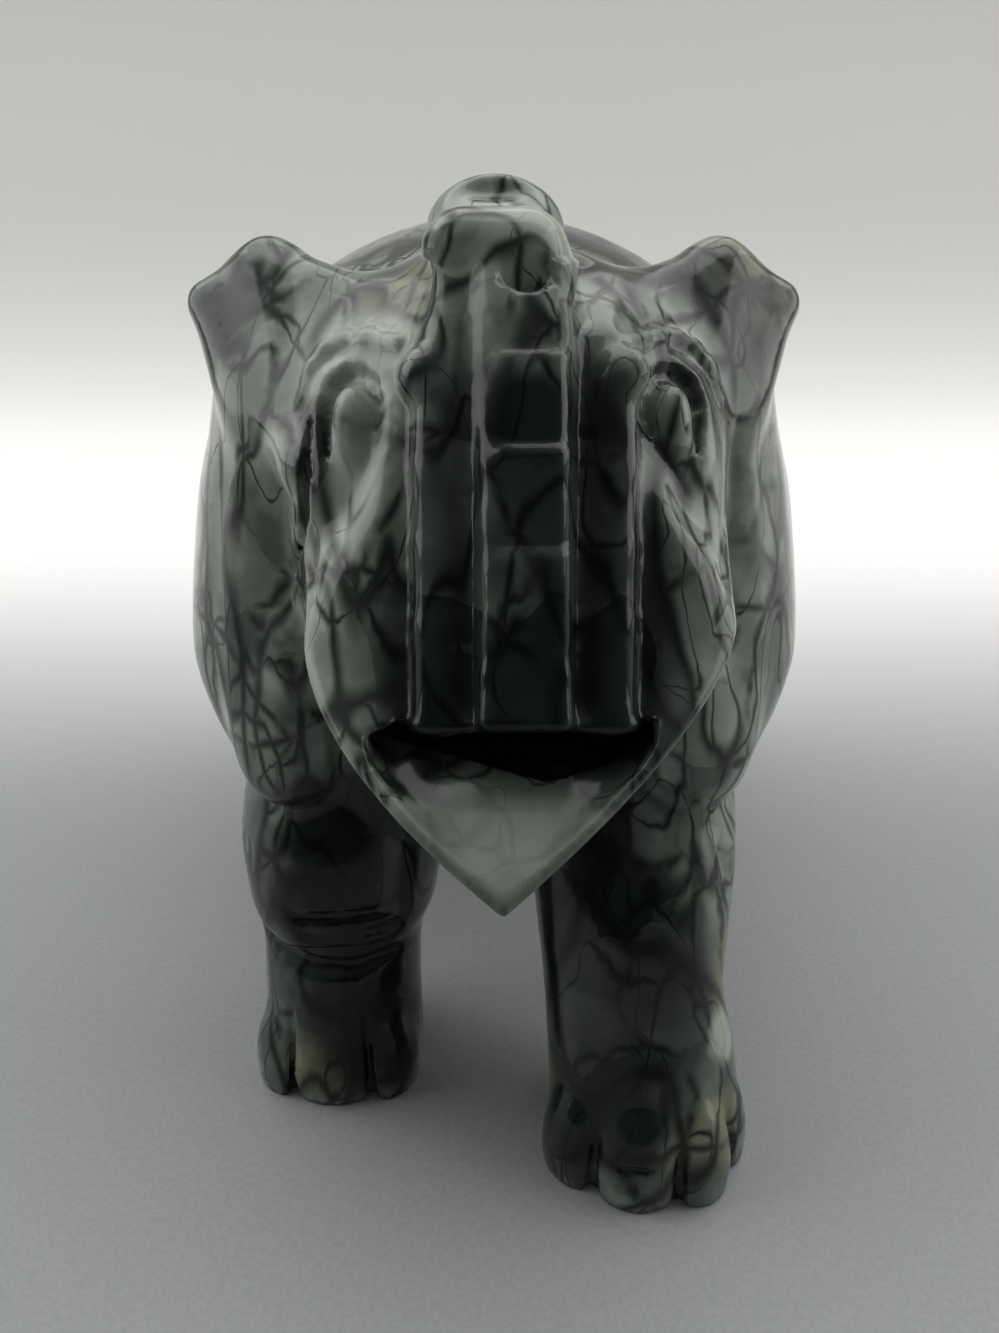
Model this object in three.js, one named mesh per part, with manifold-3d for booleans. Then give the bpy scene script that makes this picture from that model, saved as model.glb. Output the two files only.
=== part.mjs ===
// A carved jade elephant, striding with its trunk thrown up over its forehead: one solid piece of stone.
// Millimetres, +Z up. The elephant looks along -Y, and the origin is on the ground under the middle of its box.
// Each form is a signed distance, below zero inside the stone. The forms are blended as a carver blends them,
// cut by grooves and hollows, turned into one skin of triangles, and thinned where the skin is nearly flat.
import * as THREE from "three";
import { edgeTable, triTable } from "three/addons/objects/MarchingCubes.js";
import { mergeVertices } from "three/addons/utils/BufferGeometryUtils.js";
import Module from "manifold-3d";

// Skin
const SKIN_CELL = 1.1; // spacing of the grid that finds the skin
const TRIANGLES = 9400; // triangles of the finished skin
const HEAD_WEIGHT = 3; // how much closer the head is followed than the body
const SPARE = 2.2; // stone left below the ground until the soles are cut
const HOME = [0.95, 0.05, 0]; // the middle of the box's underside, in the carver's own coordinates

// Body, an egg in cross-section: fuller above its middle than below
const BARREL = { middle: [1, 13, 58], radii: [42, 56, 42.8], below: 30 };
const NECK = { middle: [1, -28, 66], radii: [21, 22, 29] };
const RUMP = { middle: [17, 41, 52], radii: [21, 24, 31] };

// Legs, from the ground up: height, middle across and along, half-width across and along
const PLANTED = [
  [-3, -18.1, -33.4, 9.7, 9.8],
  [4, -18.1, -33.4, 10, 10.2],
  [14, -17.9, -33, 9.8, 9.8],
  [20, -17.6, -32.2, 10, 9.8],
  [24.5, -17.3, -31.4, 11.4, 11.4],
  [33, -17.2, -29, 12.4, 12.4],
  [42, -15.6, -25, 12.4, 13],
  [56, -12, -20, 10.5, 13],
];
const STRIDING = [
  [-3, 19.1, -46.8, 10.8, 10.6],
  [4, 19.1, -46.8, 11.1, 11],
  [13, 18.4, -45.4, 10.8, 10.2],
  [20, 17.5, -43, 10.4, 9.8],
  [26, 17.4, -40.5, 11, 10.4],
  [34, 17.4, -36, 12, 11.6],
  [42, 16.6, -30, 12.6, 12],
  [56, 12, -23, 10.5, 12],
];
const HIND_FORWARD = [
  [-3, -21, 35, 10.4, 10.4],
  [4, -21, 35, 10.7, 10.7],
  [14, -21, 36.4, 10.4, 10.2],
  [24, -20.6, 37.4, 11.4, 11.6],
  [34, -20, 38, 13.4, 15],
  [48, -18, 41, 17, 20],
  [64, -15, 42, 16, 20],
];
const HIND_BACK = [
  [-3, 21, 50, 10.4, 10.4],
  [4, 21, 50, 10.7, 10.7],
  [14, 21, 51.4, 10.4, 10.2],
  [24, 20.6, 50, 11.4, 11.6],
  [34, 20, 47, 13.4, 15],
  [48, 18, 44, 17, 20],
  [64, 15, 42, 16, 20],
];
const TOE = { size: [3.9, 3.9, 9.5], inset: 1.9, z: 3 };
const FEET = [
  [PLANTED, [-66, -35, -5, 25, 52]],
  [STRIDING, [-68, -38, -8, 22, 50]],
  [HIND_FORWARD, [-64, -34, -4, 26, 56]],
  [HIND_BACK, [-56, -26, 4, 34, 64]],
];

// Head
const HEAD_X = 3.1; // the head is carved a little to one side of the body's middle
const SKULL = { middle: [HEAD_X - 0.6, -34, 79], radii: [19.8, 19.4, 19.5] };
const CHEEK = { middle: [15.4, -42.6, 73], radii: [4.4, 7, 14] };
const JAW = { tip: [2.3, -73.4, 51.4], length: 20, halfWidth: 19.2, left: 1.78, right: 1.5, aside: 1.6, rim: 0.82,
  sweep: 0.6, keel: 46.2 };
const MUZZLE = { x: 3.8, round: 0.017, back: -42, top: 94 };
const BELL = [ // height, half-width and front of the muzzle
  [54, 9.5, -63],
  [61, 12.6, -61.4],
  [65, 16.6, -60.2],
  [68.5, 18.3, -59.2],
  [71.5, 17.5, -58.2],
  [74.5, 15.7, -57.2],
  [78, 12.8, -56],
  [84, 9.9, -53.8],
  [91, 8.2, -51],
  [99, 6.5, -46.5],
];
const LIP = { y: -61, z: 61, fall: 0.42 };
const MOUTH = { dip: 0.4, slope: 0.45, lip: 12, drop: 4.6, wall: 1.2, halfWidth: 12.4, back: -44 };

// Trunk, thrown up over the forehead and curled at the tip
const TRUNK_FLAT = 2.4; // half the width of the trunk's flat underside
const TRUNK = [
  [[4, -62.6, 60], 2.8],
  [[4, -59.7, 66], 2.8],
  [[3.6, -53.8, 82], 3],
  [[2.7, -48.8, 92], 4.2],
  [[2.4, -46, 96], 4.1],
  [[2, -41.5, 96.4], 4],
  [[1.6, -38.5, 98.5], 3.4],
];
const TIP = { middle: [1.6, -38, 99.4], radii: [5.9, 4.6, 4.4] };
const NOSTRIL = { middle: [1.4, -41.4, 102.9], radii: [3.4, 1.9, 1.3] };
const SCOOP = { middle: [4.2, -51.3, 95.6], radii: [2.2, 1.3, 2.8] };
const TRUNK_EDGE = { across: [-1, 9.3], low: 63, high: 88, radius: 0.8 };
const PANEL = { x: 4.8, halfWidth: 3.4, depth: 0.9, ledges: [90.7, 83.9, 76.2, 67] };
const TUSK = { x: 4.1, out: 7.2, low: 62.5, high: 87, radius: 1.6, grooveOut: 9.7, groove: 1.1 };

// Eyes. The lines round them are outward and upward from the eye's middle, with the radius of the line.
const EYE = { out: 13.7, z: 83.1, ball: [2.2, 2.2, 4.2], sunk: 1.3 };
const LID_LINE = [
  [0.2, -3.8, 0.3],
  [1.9, -1.4, 0.6],
  [2.7, 1, 1],
  [2.3, 3.1, 1.3],
  [1.5, 4.6, 1.4],
  [0.3, 5.5, 1.3],
  [-0.9, 5.7, 1.1],
  [-2, 4.9, 0.9],
  [-2.7, 3.2, 0.8],
  [-2.5, 1.2, 0.5],
];
const BROW = [
  [5, 2.2, 1.2],
  [4, 4.8, 1.4],
  [2.7, 6.3, 1.5],
  [1, 7.2, 1.5],
  [-1.2, 7.5, 1.5],
  [-4.2, 7.4, 1.6],
];

// Ears: a leaf that turns back round the shoulder, and a flap rolled forward from its upper edge
const EAR_X = 1.4;
const EAR = { frontY: -42.8, turn: 4.6, splay: 0.15, thickness: 2.6, dish: 1, top: [-23, 70],
  topRadius: 19, low: [-33.4, 50.6], lowRadius: 11 };
const EAR_FRONT = [ // height, how far out the leaf's front edge is, and how far it spreads from there
  [38, 18, 9],
  [46, 20.6, 11.2],
  [54, 22.2, 11.8],
  [60, 21.8, 11.9],
  [67, 20.8, 11.8],
  [74, 19.8, 11.4],
  [80, 18.6, 10.8],
  [96, 16.5, 9.5],
];
const LOBE = { middle: [22.4, -38.2, 48.6], radii: [5.4, 4.6, 8.2] };
const SLIT = [
  [[16.9, -42, 80], 0.7],
  [[18.3, -42, 72], 1],
  [[20.2, -42.5, 63.5], 0.7],
];
const FLAP = {
  corner: [[28.4, -28.5, 92.6], 2],
  crest: [[22, -31, 95], 3.1],
  inner: [[11.5, -36, 90], 5],
  foot: [[17, -43.4, 79.6], 1.6],
};
const TAIL = [
  [0.5, 85, 3.4],
  [0.8, 76, 2.7],
  [2.4, 66, 2.3],
  [5.2, 57, 2.2],
  [8.6, 49.5, 2.9],
  [11, 42, 1.2],
];

const SIDES = [-1, 1];
const radians = THREE.MathUtils.degToRad;
const { clamp, smoothstep } = THREE.MathUtils;

// Blends: k is the width in millimetres over which one form runs into the other
const softMin = (a, b, k) => {
  const h = Math.max(k - Math.abs(a - b), 0) / k;
  return Math.min(a, b) - (h * h * k) / 4;
};
const softMax = (a, b, k) => -softMin(-a, -b, k);

// Forms: a distance function with the sphere that holds the form
const form = (middle, reach, distance) => ({ middle, reach, distance });

const egg = ([cx, cy, cz], [rx, ry, rz], below = rz) =>
  form([cx, cy, cz], Math.max(rx, ry, rz, below), (x, y, z) => {
    const px = x - cx;
    const py = y - cy;
    const pz = z - cz;
    const r = pz > 0 ? rz : below;
    const near = Math.hypot(px / rx, py / ry, pz / r);
    const steep = Math.hypot(px / (rx * rx), py / (ry * ry), pz / (r * r));
    return steep < 1e-9 ? -Math.min(rx, ry, r) : (near * (near - 1)) / steep;
  });

const bar = ([ax, ay, az], [bx, by, bz], ra, rb = ra) => {
  const ux = bx - ax;
  const uy = by - ay;
  const uz = bz - az;
  const lengthSq = ux * ux + uy * uy + uz * uz;
  const middle = [(ax + bx) / 2, (ay + by) / 2, (az + bz) / 2];
  return form(middle, Math.sqrt(lengthSq) / 2 + Math.max(ra, rb), (x, y, z) => {
    const px = x - ax;
    const py = y - ay;
    const pz = z - az;
    const t = clamp((px * ux + py * uy + pz * uz) / lengthSq, 0, 1);
    return Math.hypot(px - ux * t, py - uy * t, pz - uz * t) - (ra + (rb - ra) * t);
  });
};

// A three-cornered plate with a radius of its own at each corner.
const plate = (a, b, c, ra, rb, rc) => {
  const A = new THREE.Vector3(...a);
  const ab = new THREE.Vector3(...b).sub(A);
  const ac = new THREE.Vector3(...c).sub(A);
  const normal = ab.clone().cross(ac);
  const areaSq = normal.lengthSq();
  const unit = normal.clone().normalize();
  const toB = ac.clone().cross(normal).divideScalar(areaSq);
  const toC = normal.clone().cross(ab).divideScalar(areaSq);
  const edges = [bar(a, b, ra, rb), bar(b, c, rb, rc), bar(c, a, rc, ra)];
  const middle = A.clone().add(ab.clone().add(ac).divideScalar(3));
  const reach = Math.max(...[a, b, c].map((p) => middle.distanceTo(new THREE.Vector3(...p))));
  return form(middle.toArray(), reach + Math.max(ra, rb, rc), (x, y, z) => {
    const px = x - a[0];
    const py = y - a[1];
    const pz = z - a[2];
    const v = px * toB.x + py * toB.y + pz * toB.z;
    const w = px * toC.x + py * toC.y + pz * toC.z;
    const u = 1 - v - w;
    if (u >= 0 && v >= 0 && w >= 0) {
      return Math.abs(px * unit.x + py * unit.y + pz * unit.z) - (u * ra + v * rb + w * rc);
    }
    return Math.min(...edges.map((edge) => edge.distance(x, y, z)));
  });
};

// Joins forms into one with the blend k.
const joined = (k, forms) => {
  const middle = [0, 1, 2].map((i) => forms.reduce((sum, f) => sum + f.middle[i], 0) / forms.length);
  const spans = forms.map((f) => Math.hypot(...f.middle.map((v, i) => v - middle[i])) + f.reach);
  return form(middle, Math.max(...spans) + k, (x, y, z) =>
    forms.reduce((d, f) => softMin(d, f.distance(x, y, z), k), 1e3));
};

// A value that runs smoothly through rows [at, value...], read at t.
const along = (rows, t, column) => {
  const last = rows.length - 1;
  const n = clamp(rows.findLastIndex(([at]) => at <= t), 0, last - 1);
  const [before, a, b, after] = [n - 1, n, n + 1, n + 2].map((i) => rows[clamp(i, 0, last)]);
  const u = clamp((t - a[0]) / (b[0] - a[0]), 0, 1);
  const slopeA = ((b[column] - before[column]) / (b[0] - before[0])) * (b[0] - a[0]);
  const slopeB = ((after[column] - a[column]) / (after[0] - a[0])) * (b[0] - a[0]);
  const rise = b[column] - a[column];
  return a[column] + slopeA * u + (3 * rise - 2 * slopeA - slopeB) * u * u + (slopeA + slopeB - 2 * rise) * u ** 3;
};

// An upright form with an oval section at every height, through rows [z, x, y, half-widths].
const post = (rows) => {
  const low = rows[0];
  const high = rows.at(-1);
  const middle = [0, 1].map((i) => (low[i + 1] + high[i + 1]) / 2);
  return form([...middle, (low[0] + high[0]) / 2], (high[0] - low[0]) / 2 + 24, (x, y, z) => {
    const [cx, cy, rx, ry] = [1, 2, 3, 4].map((column) => along(rows, z, column));
    const near = Math.hypot((x - cx) / rx, (y - cy) / ry);
    return softMax((near - 1) * Math.min(rx, ry) * 0.95, z - high[0], 4);
  });
};

// A limb through joints [point, radius].
const limb = (k, joints) =>
  joined(k, joints.slice(1).map(([point, radius], i) => bar(joints[i][0], point, joints[i][1], radius)));

const mirrored = (side, about, [x, y, z]) => [about + side * x, y, z];
const mirroredJoints = (side, about, joints) => joints.map(([p, r]) => [mirrored(side, about, p), r]);

// The steps of the carving, in order: each adds a form to the stone or cuts it away.
const steps = [];
const add = (k, shape) => steps.push({ ...shape, k, cut: false });
const cut = (k, shape) => steps.push({ ...shape, k, cut: true });

// Distance to the stone as carved so far. A form that is too far away to matter is passed over.
const stone = (x, y, z) => {
  let d = 1e3;
  for (const { middle, reach, distance, k, cut: away } of steps) {
    const limit = reach + k + (away ? -d : d);
    const apart = (x - middle[0]) ** 2 + (y - middle[1]) ** 2 + (z - middle[2]) ** 2;
    if (limit <= 0 || apart > limit * limit) {
      continue;
    }
    d = away ? softMax(d, -distance(x, y, z), k) : softMin(d, distance(x, y, z), k);
  }
  return Math.max(d, -SPARE - z);
};

// Where the front of the stone is, at x and z, and joints [x, z, radius] laid on it.
const frontOf = (x, z) => {
  let y = -90;
  while (stone(x, y, z) > 0 && y < -20) {
    y += 0.2;
  }
  return y;
};
const laid = (joints, sunk = 0) => joints.map(([x, z, radius]) => [[x, frontOf(x, z) + sunk, z], radius]);

add(1, egg(BARREL.middle, BARREL.radii, BARREL.below));
add(10, egg(NECK.middle, NECK.radii));
for (const side of SIDES) {
  add(14, egg(mirrored(side, 0, RUMP.middle), RUMP.radii));
}

for (const [rows] of FEET) {
  add(6, post(rows));
}
for (const [rows, angles] of FEET) {
  const [, fx, fy, radius] = rows[1];
  for (const degrees of angles) {
    const turn = radians(degrees);
    const out = radius - TOE.inset;
    add(0.9, egg([fx + Math.sin(turn) * out, fy - Math.cos(turn) * out, TOE.z], TOE.size));
  }
}

// Head
add(7, egg(SKULL.middle, SKULL.radii));
for (const side of SIDES) {
  add(5, egg(mirrored(side, HEAD_X, CHEEK.middle), CHEEK.radii));
}

// The muzzle is bell-shaped from the front, and ends below at the upper lip
const lipLine = (y) => LIP.z - (Math.min(y, LIP.y) - LIP.y) * LIP.fall;
add(1.8, form([MUZZLE.x, -52, 76], 34, (x, y, z) => {
  const aside = x - MUZZLE.x;
  const sides = (Math.abs(aside) - along(BELL, z, 1)) * 0.82;
  const front = (along(BELL, z, 2) + MUZZLE.round * aside * aside - y) * 0.93;
  const face = softMax(softMax(sides, front, 1.8), softMax(y - MUZZLE.back, z - MUZZLE.top, 4), 4);
  return softMax(face, (lipLine(y) - z) * 0.9, 1);
}));

// Trunk with the stepped panel on its underside
const trunkAxis = limb(0.6, TRUNK.map(([[, y, z], radius]) => [[0, y, z], radius]));
const trunkRows = TRUNK.map(([[x, , z]]) => [z, x]);
const trunkMiddle = (z) => along(trunkRows, z, 1);
const trunk = form([2.5, ...trunkAxis.middle.slice(1)], trunkAxis.reach + TRUNK_FLAT, (x, y, z) => {
  const aside = x - trunkMiddle(z);
  return trunkAxis.distance(aside - clamp(aside, -TRUNK_FLAT, TRUNK_FLAT), y, z);
});
const panelStep = (z) => {
  const next = PANEL.ledges.findIndex((ledge) => z > ledge);
  if (next <= 0) {
    return 0;
  }
  const top = PANEL.ledges[next - 1];
  const low = PANEL.ledges[next];
  return PANEL.depth * ((z - low) / (top - low));
};
add(2, form(trunk.middle, trunk.reach + PANEL.depth, (x, y, z) => {
  const across = 1 - smoothstep(Math.abs(x - PANEL.x), PANEL.halfWidth - 0.5, PANEL.halfWidth + 0.3);
  return softMax(trunk.distance(x, y, z) + 0.5 - panelStep(z) * across, (lipLine(y) - z) * 0.9, 1);
}));
add(2, egg(TIP.middle, TIP.radii));
cut(0.8, egg(NOSTRIL.middle, NOSTRIL.radii));
cut(0.8, egg(SCOOP.middle, SCOOP.radii));

for (const edge of TRUNK_EDGE.across.map((x) =>
  laid([0, 1, 2, 3, 4, 5].map((i) => [x, TRUNK_EDGE.low + (i / 5) * (TRUNK_EDGE.high - TRUNK_EDGE.low), TRUNK_EDGE.radius])))) {
  cut(0.8, limb(0.5, edge));
}

// The jaw is a pointed scoop below the mouth line, swept back and down from its rim
const rimHeight = (y) => JAW.tip[2] + (y - JAW.tip[1]) * JAW.rim;
const jawSide = (x, y, z) => {
  const under = Math.max(0, rimHeight(y) - z);
  const t = clamp((y - JAW.tip[1] - under / (JAW.rim + JAW.sweep)) / JAW.length, -0.6, 1);
  const aside = x - JAW.tip[0] - JAW.aside * clamp(t, 0, 1);
  const point = aside < 0 ? JAW.left : JAW.right;
  const wide = JAW.halfWidth * (1 - (1 - t) ** point);
  const steep = ((JAW.halfWidth * point) / JAW.length) * (1 - t) ** (point - 1);
  return (Math.abs(aside) - wide) / Math.hypot(1, steep);
};
const jawMiddle = [HEAD_X, -56, 60];
add(1, form(jawMiddle, 30, (x, y, z) => {
  const hull = softMax(jawSide(x, y, z), JAW.keel - z, 4);
  return softMax(softMax(hull, (z - rimHeight(y)) * 0.77, 1.6), y + 42, 3);
}));
cut(0.8, form(jawMiddle, 30, (x, y, z) => {
  const back = y - JAW.tip[1];
  const drop = MOUTH.drop * smoothstep(back, MOUTH.lip, MOUTH.lip + 3);
  const floor = JAW.tip[2] - MOUTH.dip + Math.min(back, MOUTH.lip) * MOUTH.slope - drop - z;
  const sides = softMax(jawSide(x, y, z) + MOUTH.wall, Math.abs(x - HEAD_X) - MOUTH.halfWidth, 2);
  return softMax(softMax(floor * 0.9, (z - lipLine(y)) * 0.9, 1), softMax(sides, y - MOUTH.back, 3), 1);
}));

// Tusks in relief beside the trunk
const heights = (low, high, count) => Array.from({ length: count }, (_, i) => low + ((high - low) * i) / (count - 1));
for (const side of SIDES) {
  const x = TUSK.x + side * TUSK.grooveOut;
  cut(1, limb(1, laid(heights(TUSK.low, TUSK.high, 5).slice(1).map((z) => [x, z, TUSK.groove]))));
}
for (const side of SIDES) {
  const x = TUSK.x + side * TUSK.out;
  const radii = [1, 1, 1, 0.9, 0.6].map((share) => share * TUSK.radius);
  add(0.8, limb(1, laid(heights(TUSK.low, TUSK.high, 5).map((z, i) => [x, z, radii[i]]), 0.3)));
}

// Ears
const earLeaf = (side) =>
  form(mirrored(side, EAR_X, [30, -25, 68]), 38, (x, y, z) => {
    const out = side * (x - EAR_X);
    const back = clamp(y - EAR.frontY, -1, 40);
    const turned = Math.exp(-back / EAR.turn);
    const spread = along(EAR_FRONT, z, 2);
    const outer = along(EAR_FRONT, z, 1) + spread * (1 - turned) + EAR.splay * back;
    const steep = (spread / EAR.turn) * turned + EAR.splay;
    const sheet = bar([0, ...EAR.top], [0, ...EAR.low], EAR.topRadius, EAR.lowRadius).distance(0, y, z);
    const rim = softMax(sheet, EAR.frontY - y, 2);
    const across = (Math.abs(out - outer + EAR.thickness) - EAR.thickness) / Math.sqrt(1.1 + steep * steep);
    return softMax(rim, across + EAR.dish * smoothstep(-rim, 1, 6), 3);
  });
for (const side of SIDES) {
  add(1, earLeaf(side));
  add(3, egg(mirrored(side, EAR_X, LOBE.middle), LOBE.radii));
  cut(0.6, limb(0.6, mirroredJoints(side, EAR_X, SLIT)));
  for (const names of [["corner", "crest", "foot"], ["crest", "inner", "foot"]]) {
    const joints = mirroredJoints(side, EAR_X, names.map((name) => FLAP[name]));
    add(2, plate(...joints.map(([point]) => point), ...joints.map(([, radius]) => radius)));
  }
}

// Eyes under their brows
for (const side of SIDES) {
  const x = HEAD_X + side * EYE.out;
  const y = frontOf(x, EYE.z);
  const around = (rows) => rows.map(([out, up, radius]) => [x + side * out, EYE.z + up, radius]);
  add(2.5, limb(1, laid(around(BROW), 0.5)));
  cut(0.8, limb(0.5, laid(around(LID_LINE))));
  add(0.5, egg([x, y + EYE.sunk, EYE.z], EYE.ball));
}

// Tail in relief: its joints lie on the rump
const backOf = (x, z) => {
  let y = 90;
  while (stone(x, y, z) > 0) {
    y -= 0.2;
  }
  return y;
};
add(1.5, limb(1, TAIL.map(([x, z, radius]) => [[x, backOf(x, z) + 0.2, z], radius])));

// The skin, found on a grid. Blocks of cells that are far from the skin are not looked into.
const LOW = [-48, -76, -3.3];
const HIGH = [48, 78, 108];
const BLOCK = 4;
const counts = LOW.map((low, i) => Math.ceil((HIGH[i] - low) / SKIN_CELL / BLOCK) * BLOCK);
const CORNERS = [[0, 0, 0], [1, 0, 0], [1, 1, 0], [0, 1, 0], [0, 0, 1], [1, 0, 1], [1, 1, 1], [0, 1, 1]];
const EDGES = [[0, 1], [1, 2], [2, 3], [3, 0], [4, 5], [5, 6], [6, 7], [7, 4], [0, 4], [1, 5], [2, 6], [3, 7]];

const findSkin = () => {
  const [nx, ny, nz] = counts;
  const node = (i, j, k) => (k * (ny + 1) + j) * (nx + 1) + i;
  const at = (i, axis) => LOW[axis] + i * SKIN_CELL;
  const values = new Map();
  const value = (i, j, k) => {
    const id = node(i, j, k);
    if (!values.has(id)) {
      values.set(id, stone(at(i, 0), at(j, 1), at(k, 2)));
    }
    return values.get(id);
  };
  const points = [];
  const triangles = [];
  const found = new Map();
  const pointOn = (a, b) => {
    const [low, high] = node(...a) < node(...b) ? [a, b] : [b, a];
    const key = node(...low) * 4 + (high[0] > low[0] ? 0 : high[1] > low[1] ? 1 : 2);
    if (!found.has(key)) {
      const va = value(...low);
      const vb = value(...high);
      const t = clamp(va / (va - vb), 0.02, 0.98);
      found.set(key, points.length);
      points.push(low.map((n, axis) => at(n + (high[axis] - n) * t, axis)));
    }
    return found.get(key);
  };
  const farAway = SKIN_CELL * BLOCK * 1.5;
  for (let bi = 0; bi < nx; bi += BLOCK) {
    for (let bj = 0; bj < ny; bj += BLOCK) {
      for (let bk = 0; bk < nz; bk += BLOCK) {
        const half = BLOCK / 2;
        if (Math.abs(stone(at(bi + half, 0), at(bj + half, 1), at(bk + half, 2))) > farAway) {
          continue;
        }
        for (let i = bi; i < bi + BLOCK; i += 1) {
          for (let j = bj; j < bj + BLOCK; j += 1) {
            for (let k = bk; k < bk + BLOCK; k += 1) {
              const corners = CORNERS.map(([a, b, c]) => [i + a, j + b, k + c]);
              let kind = 0;
              corners.forEach((corner, n) => {
                kind |= value(...corner) < 0 ? 1 << n : 0;
              });
              if (edgeTable[kind] === 0) {
                continue;
              }
              for (let t = 0; triTable[kind * 16 + t] !== -1; t += 3) {
                const ends = [0, 1, 2].map((n) => EDGES[triTable[kind * 16 + t + n]]);
                const [a, b, c] = ends.map(([p, q]) => pointOn(corners[p], corners[q]));
                triangles.push([a, c, b]);
              }
            }
          }
        }
      }
    }
  }
  return { points, triangles };
};

// Only the outer skin is kept, so a hollow that is sealed inside the stone is filled.
const outerSkin = ({ points, triangles }) => {
  const leader = points.map((_, p) => p);
  const find = (p) => {
    let top = p;
    while (leader[top] !== top) {
      leader[top] = leader[leader[top]];
      top = leader[top];
    }
    return top;
  };
  for (const [a, b, c] of triangles) {
    leader[find(a)] = find(b);
    leader[find(b)] = find(c);
  }
  const sizes = new Map();
  for (const [a] of triangles) {
    sizes.set(find(a), (sizes.get(find(a)) ?? 0) + 1);
  }
  const outer = [...sizes].reduce((best, entry) => (entry[1] > best[1] ? entry : best))[0];
  return { points, triangles: triangles.filter(([a]) => find(a) === outer) };
};

// Thinning: edges whose loss moves the skin least go first. Q holds the sums of squared distances to the
// planes around a point, as the upper half of a symmetric 4 by 4 matrix.
const planeSum = (n, d, weight) => [
  n.x * n.x, n.x * n.y, n.x * n.z, n.x * d, n.y * n.y, n.y * n.z, n.y * d, n.z * n.z, n.z * d, d * d,
].map((v) => v * weight);

const errorAt = (q, [x, y, z]) =>
  q[0] * x * x + 2 * q[1] * x * y + 2 * q[2] * x * z + 2 * q[3] * x + q[4] * y * y + 2 * q[5] * y * z +
  2 * q[6] * y + q[7] * z * z + 2 * q[8] * z + q[9];

const bestPoint = (q, a, b) => {
  const matrix = new THREE.Matrix3().set(q[0], q[1], q[2], q[1], q[4], q[5], q[2], q[5], q[7]);
  const middle = a.map((v, i) => (v + b[i]) / 2);
  const size = q[0] + q[4] + q[7];
  if (Math.abs(matrix.determinant()) > 1e-5 * size ** 3) {
    const p = new THREE.Vector3(-q[3], -q[6], -q[8]).applyMatrix3(matrix.invert()).toArray();
    const span = Math.hypot(...a.map((v, i) => v - b[i]));
    if (Math.hypot(...p.map((v, i) => v - middle[i])) < span * 1.2) {
      return p;
    }
  }
  return [middle, a, b].reduce((best, p) => (errorAt(q, p) < errorAt(q, best) ? p : best));
};

const thinned = ({ points, triangles }, target) => {
  const sums = points.map(() => new Array(10).fill(0));
  const around = points.map(() => new Set());
  const cross = ([a, b, c]) => {
    const p = new THREE.Vector3(...points[a]);
    const u = new THREE.Vector3(...points[b]).sub(p);
    const v = new THREE.Vector3(...points[c]).sub(p);
    return u.cross(v);
  };
  triangles.forEach((triangle, index) => {
    const normal = cross(triangle);
    const area = normal.length() / 2;
    normal.normalize();
    const [px, py, pz] = points[triangle[0]];
    const weight = area * (1 + (HEAD_WEIGHT - 1) * (1 - smoothstep(py, -30, -8)));
    const sum = planeSum(normal, -(normal.x * px + normal.y * py + normal.z * pz), weight + 1e-6);
    for (const p of triangle) {
      around[p].add(index);
      sum.forEach((v, i) => {
        sums[p][i] += v;
      });
    }
  });
  const neighbours = (p) => new Set([...around[p]].flatMap((t) => triangles[t]).filter((other) => other !== p));
  const version = points.map(() => 0);
  const heap = [];
  const swap = (i, j) => {
    [heap[i], heap[j]] = [heap[j], heap[i]];
  };
  const push = (item) => {
    heap.push(item);
    for (let i = heap.length - 1; i > 0;) {
      const parent = (i - 1) >> 1;
      if (heap[parent].cost <= heap[i].cost) {
        break;
      }
      swap(i, parent);
      i = parent;
    }
  };
  const pop = () => {
    const top = heap[0];
    const last = heap.pop();
    if (heap.length > 0) {
      heap[0] = last;
      for (let i = 0; ;) {
        const left = 2 * i + 1;
        if (left >= heap.length) {
          break;
        }
        const child = left + 1 < heap.length && heap[left + 1].cost < heap[left].cost ? left + 1 : left;
        if (heap[i].cost <= heap[child].cost) {
          break;
        }
        swap(i, child);
        i = child;
      }
    }
    return top;
  };
  const offer = (a, b) => {
    const q = sums[a].map((v, i) => v + sums[b][i]);
    const point = bestPoint(q, points[a], points[b]);
    const span = Math.hypot(...points[a].map((v, i) => v - points[b][i]));
    push({ cost: errorAt(q, point) + 1e-4 * span * span, a, b, point, q, stamp: version[a] + version[b] });
  };
  points.forEach((_, p) => {
    for (const other of neighbours(p)) {
      if (p < other) {
        offer(p, other);
      }
    }
  });
  let left = triangles.length;
  while (left > target && heap.length > 0) {
    const { a, b, point, q, stamp } = pop();
    if (!around[a] || !around[b] || stamp !== version[a] + version[b]) {
      continue;
    }
    const shared = [...neighbours(a)].filter((p) => neighbours(b).has(p));
    const lost = [...around[a]].filter((t) => around[b].has(t));
    if (lost.length !== 2 || shared.length !== 2) {
      continue;
    }
    const turnsOver = [a, b].some((p) => [...around[p]].some((t) => {
      if (lost.includes(t)) {
        return false;
      }
      const before = cross(triangles[t]);
      const kept = points[p];
      points[p] = point;
      const after = cross(triangles[t]);
      points[p] = kept;
      return before.normalize().dot(after.clone().normalize()) < 0.25 || after.length() < 1e-3;
    }));
    if (turnsOver) {
      continue;
    }
    for (const t of lost) {
      triangles[t].forEach((p) => around[p].delete(t));
      triangles[t] = null;
    }
    for (const t of around[b]) {
      triangles[t] = triangles[t].map((p) => (p === b ? a : p));
      around[a].add(t);
    }
    around[b] = null;
    points[a] = point;
    sums[a] = q;
    version[a] += 1e6 + version[b];
    left -= 2;
    for (const other of neighbours(a)) {
      offer(a, other);
    }
  }
  return { points, triangles: triangles.filter(Boolean) };
};

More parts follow.
